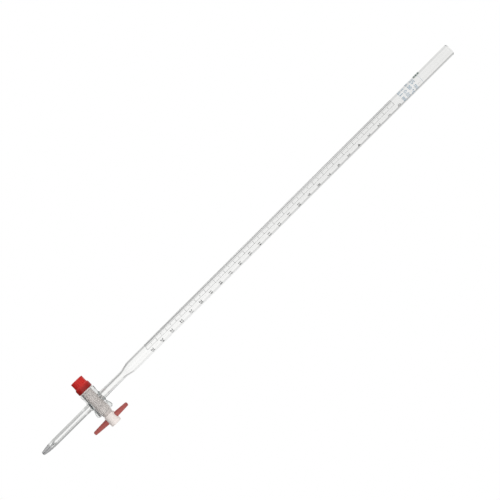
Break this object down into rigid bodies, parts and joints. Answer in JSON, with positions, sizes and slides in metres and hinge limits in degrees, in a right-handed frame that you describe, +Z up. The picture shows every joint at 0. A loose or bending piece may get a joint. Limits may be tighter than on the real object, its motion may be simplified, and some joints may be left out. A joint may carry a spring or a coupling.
{
  "type": "burette",
  "caption": "Straight glass burette with a fine printed scale, a PTFE stopcock with a red T-handle and tension nut, and a drawn-in glass jet.",
  "frame": {"origin": "on the tube's axis where a burette clamp grips it, 240 mm above the stopcock", "axes": "+Z up the tube towards its mouth, +X towards the stopcock's handle, upright as in use"},
  "size_m": [0.0598, 0.02, 0.5697],
  "materials": {
    "glass": "clear, fire-polished",
    "ptfe": "waxy turned PTFE",
    "red_plastic": "moulded, semi-gloss",
    "ring_rubber": "matt",
    "print": "fired enamel print"
  },
  "bodies": {
    "glass_body": {"graduated_tube": "glass", "stopcock_barrel": "glass", "jet": "glass"},
    "key": {"key_plug": "ptfe", "handle_bar": "red_plastic"},
    "seal_stack": {"key_washer": "ptfe", "o_ring": "ring_rubber"},
    "nut": {"tension_nut": "red_plastic"}
  },
  "joints": [
    {"name": "key_turn", "type": "hinge", "parent": "glass_body", "child": "key", "pos_m": [0, 0, -0.24], "axis": [0.9998, 0, -0.0192], "continuous": true},
    {"name": "nut_travel", "type": "slide", "parent": "key", "child": "seal_stack", "axis": [-0.9998, 0, 0.0192], "range_m": [0, 0.003]},
    {"name": "nut_turn", "type": "hinge", "parent": "seal_stack", "child": "nut", "pos_m": [0, 0, -0.24], "axis": [-0.9998, 0, 0.0192], "range_deg": [0, 720]}
  ],
  "couplings": [
    {"joint": "nut_turn", "follows": "nut_travel", "rad_per_m": 4188.8}
  ]
}
